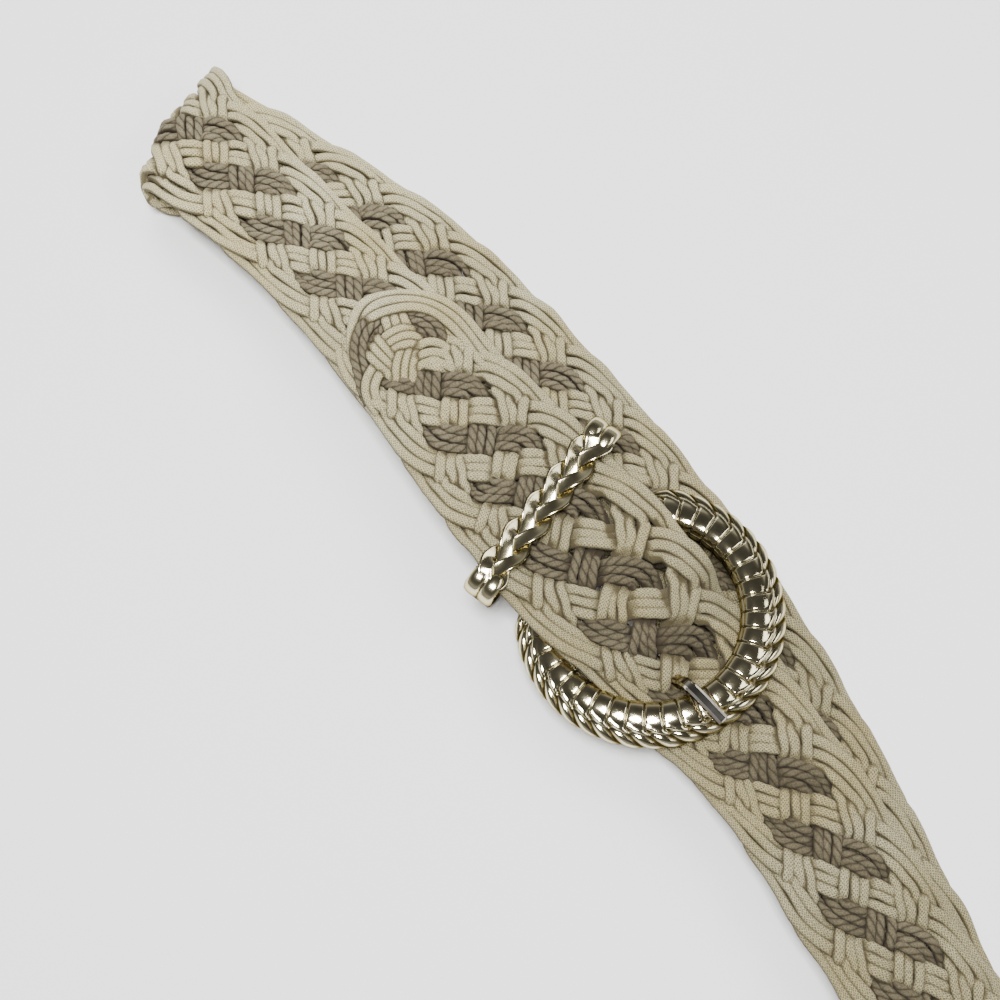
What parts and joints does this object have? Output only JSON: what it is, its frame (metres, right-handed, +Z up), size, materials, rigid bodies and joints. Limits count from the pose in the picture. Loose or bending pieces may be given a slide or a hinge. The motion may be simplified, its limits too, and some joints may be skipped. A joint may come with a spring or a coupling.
{
  "type": "braided belt",
  "caption": "Braided cotton cord belt with a round banded metal buckle, prong and plaited metal keeper, fastened and lying flat as a doubled loop.",
  "frame": {"origin": "middle of the belt's outline in plan, on the surface that it lies on", "axes": "+X along the doubled belt, from the fold beside the free tip to the far fold; +Y across it, towards the side where the lower layer shows; +Z up"},
  "size_m": [0.3881, 0.0832, 0.0298],
  "materials": {
    "cotton_braid": "matte cotton cord in cream with two taupe strands",
    "cast_metal": "polished pale gold with darker recesses",
    "polished_metal": "polished pale gold"
  },
  "bodies": {
    "root": {"braided_strap": "cotton_braid", "buckle_frame": "cast_metal", "prong": "polished_metal", "keeper": "cast_metal"}
  },
  "joints": []
}
